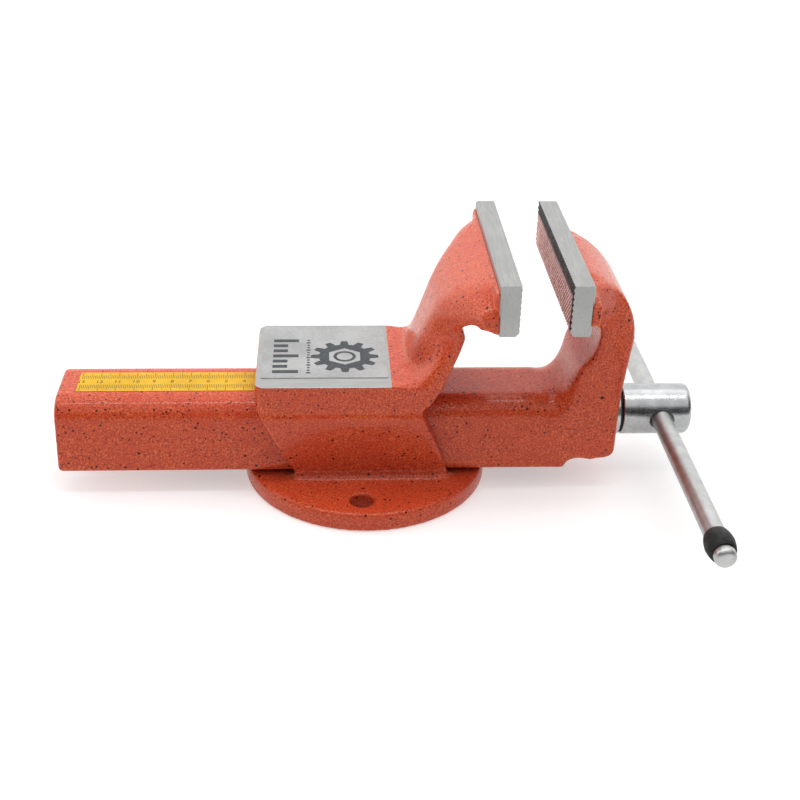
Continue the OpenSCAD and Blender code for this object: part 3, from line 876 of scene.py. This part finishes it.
def dress(node, material):
    """Gives a CAD node, whose shape is already right, its finish."""
    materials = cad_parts[node].data.materials
    materials.clear()
    materials.append(material)


# ---- the object ----
fixed_casting()
moving_casting()
toothed_plate("fixed_plate", "fixed_jaw_plate", "vise_body", fixed_teeth, fixed_tooth, True)
toothed_plate("moving_plate", "moving_jaw_plate", "sliding_jaw", moving_teeth, moving_tooth, False)
screw_thread()
screw_head()
washer_bore, seal_bore = screw_r + 0.3 * MM, screw_r + 0.1 * MM
ring_piece("bright_washer", "thrust_washer", "screw", washer_steel, washer_bore, 0.5 * MM)
ring_piece("black_seal", "dust_seal", "screw", seal_rubber, seal_bore, 0.4 * MM)
bumper_piece("near_rubber", "near_bumper", -1)
bumper_piece("far_rubber", "far_bumper", 1)
knob_piece("near_knob", "near_end_knob", -1)
knob_piece("far_knob", "far_end_knob", 1)
sheet_piece("rule_strip", "scale_rule", "sliding_jaw", rule_yellow, 0.6 * MM)
sheet_piece("label_sheet", "anvil_label", "vise_body", label_silver, 1.0 * MM)
rule_marks()
label_print()
for node, material in (
    ("handle_bar", bar_finish),
    ("spindle_nut", cast_iron),
    ("nut_bolts", hardware),
    ("nut_bolt_washers", washer_steel),
    ("fixed_plate_pins", hardware),
    ("moving_plate_pins", hardware),
    ("screw_bushing", brass),
    ("retaining_washer", washer_steel),
    ("retaining_collar", hardware),
    ("collar_pin", hardware),
):
    dress(node, material)


# ---- stage ----
def grey(value):
    """A grey as a linear colour."""
    return (value, value, value)


def make_floor():
    """A pale floor that glows a little, as a lit studio table does, except under the foot."""
    size = 8.0
    drop = -0.2 * MM  # just under the foot, so that the two never share a plane
    foot_r = 62 * MM
    s = Shader("pale_floor", Specular_IOR_Level=0.1, Emission_Strength=1.0)
    s.set("Base Color", s.mix(s.between(s.noise(9, 2.0), 0.3, 0.7), grey(0.58), grey(0.61)))
    s.set("Roughness", s.between(s.noise(30, 2.0), 0.3, 0.7, 0.8, 0.95))
    reach = s.node("ShaderNodeVectorMath", operation="LENGTH")
    s.feed(reach.inputs[0], s.place)
    from_middle = reach.outputs["Value"]
    glow = s.between(from_middle, 0.6, 2.0, 0.47, 0.64)
    glow = s.math("MULTIPLY", glow, s.between(from_middle, foot_r, foot_r + 3 * MM))
    s.set("Emission Color", s.mix(glow, grey(0.0), grey(1.0)))
    corners = [(-size, -size, drop), (size, -size, drop), (size, size, drop), (-size, size, drop)]
    floor = bpy.data.objects.new("floor", bare_mesh("floor", corners, [(0, 1, 2, 3)]))
    floor.data.materials.append(s.material)
    scene.collection.objects.link(floor)


def make_camera():
    """The camera of a fitted view: pitch down, yaw towards +X, and a small roll, in degrees."""
    pitch, yaw, roll = (math.radians(a) for a in (29.153, 3.908, 1.593))
    place = Vector((-23.6, -631.9, 395.9)) * MM
    flat = Vector((math.sin(yaw), math.cos(yaw), 0))
    forward = math.cos(pitch) * flat - math.sin(pitch) * Vector((0, 0, 1))
    right = Vector((math.cos(yaw), -math.sin(yaw), 0))
    up = right.cross(forward)
    right_rolled = math.cos(roll) * right + math.sin(roll) * up
    up_rolled = math.cos(roll) * up - math.sin(roll) * right
    data = bpy.data.cameras.new("camera")
    data.sensor_width = 36
    data.lens = 57.42
    data.clip_start = 10 * MM
    camera = bpy.data.objects.new("camera", data)
    axes = Matrix((right_rolled, up_rolled, -forward)).transposed().to_4x4()
    camera.matrix_world = Matrix.Translation(place) @ axes
    scene.collection.objects.link(camera)
    scene.camera = camera


def make_lights():
    """A big soft light overhead with a bright tube in it, and a weaker light from the left."""
    aim = Vector((0.0, 0.0, 0.05))
    for name, place, size, depth, power in (
        ("overhead", (0.05, -0.35, 1.5), 2.8, 2.8, 22.5),
        ("tube", (0.0, -0.18, 1.3), 1.2, 0.09, 3.6),
        ("left_fill", (-1.5, 0.3, 0.9), 0.9, 0.9, 4.0),
    ):
        light = bpy.data.lights.new(name, "AREA")
        light.shape = "RECTANGLE"
        light.size = size
        light.size_y = depth
        light.energy = power
        lamp = bpy.data.objects.new(name, light)
        lamp.location = place
        lamp.rotation_euler = (aim - Vector(place)).to_track_quat("-Z", "Y").to_euler()
        scene.collection.objects.link(lamp)


def make_room():
    """A white room: brightest past the object, dim on the camera's side, and darkest low behind
    the camera, where a bright part mirrors it."""
    world = bpy.data.worlds.new("white_room")
    world.use_nodes = True
    tree = world.node_tree
    link = tree.links.new

    def node(kind, **settings):
        made = tree.nodes.new(kind)
        for key, value in settings.items():
            setattr(made, key, value)
        return made

    def ranged(value, start, end):
        """0 at start and 1 at end, smoothly."""
        made = node("ShaderNodeMapRange", interpolation_type="SMOOTHSTEP")
        link(value, made.inputs["Value"])
        made.inputs["From Min"].default_value = start
        made.inputs["From Max"].default_value = end
        return made.outputs["Result"]

    split = node("ShaderNodeSeparateXYZ")
    link(node("ShaderNodeTexCoord").outputs["Generated"], split.inputs[0])
    room = node("ShaderNodeMix", data_type="RGBA")
    link(ranged(split.outputs["Y"], -0.1, 0.4), room.inputs["Factor"])
    room.inputs["A"].default_value = (*grey(0.15), 1.0)
    room.inputs["B"].default_value = (*grey(1.3), 1.0)
    dark_share = node("ShaderNodeMath", operation="MULTIPLY")
    link(ranged(split.outputs["Y"], 0.25, -0.35), dark_share.inputs[0])
    link(ranged(split.outputs["Z"], 0.52, 0.26), dark_share.inputs[1])
    colour = node("ShaderNodeMix", data_type="RGBA")
    link(dark_share.outputs[0], colour.inputs["Factor"])
    link(room.outputs["Result"], colour.inputs["A"])
    colour.inputs["B"].default_value = (0.07, 0.07, 0.075, 1.0)
    back = tree.nodes["Background"]
    link(colour.outputs["Result"], back.inputs["Color"])
    back.inputs["Strength"].default_value = 1.0
    scene.world = world


make_floor()
make_camera()
make_lights()
make_room()
scene.view_settings.view_transform = "Standard"
scene.view_settings.gamma = 0.88
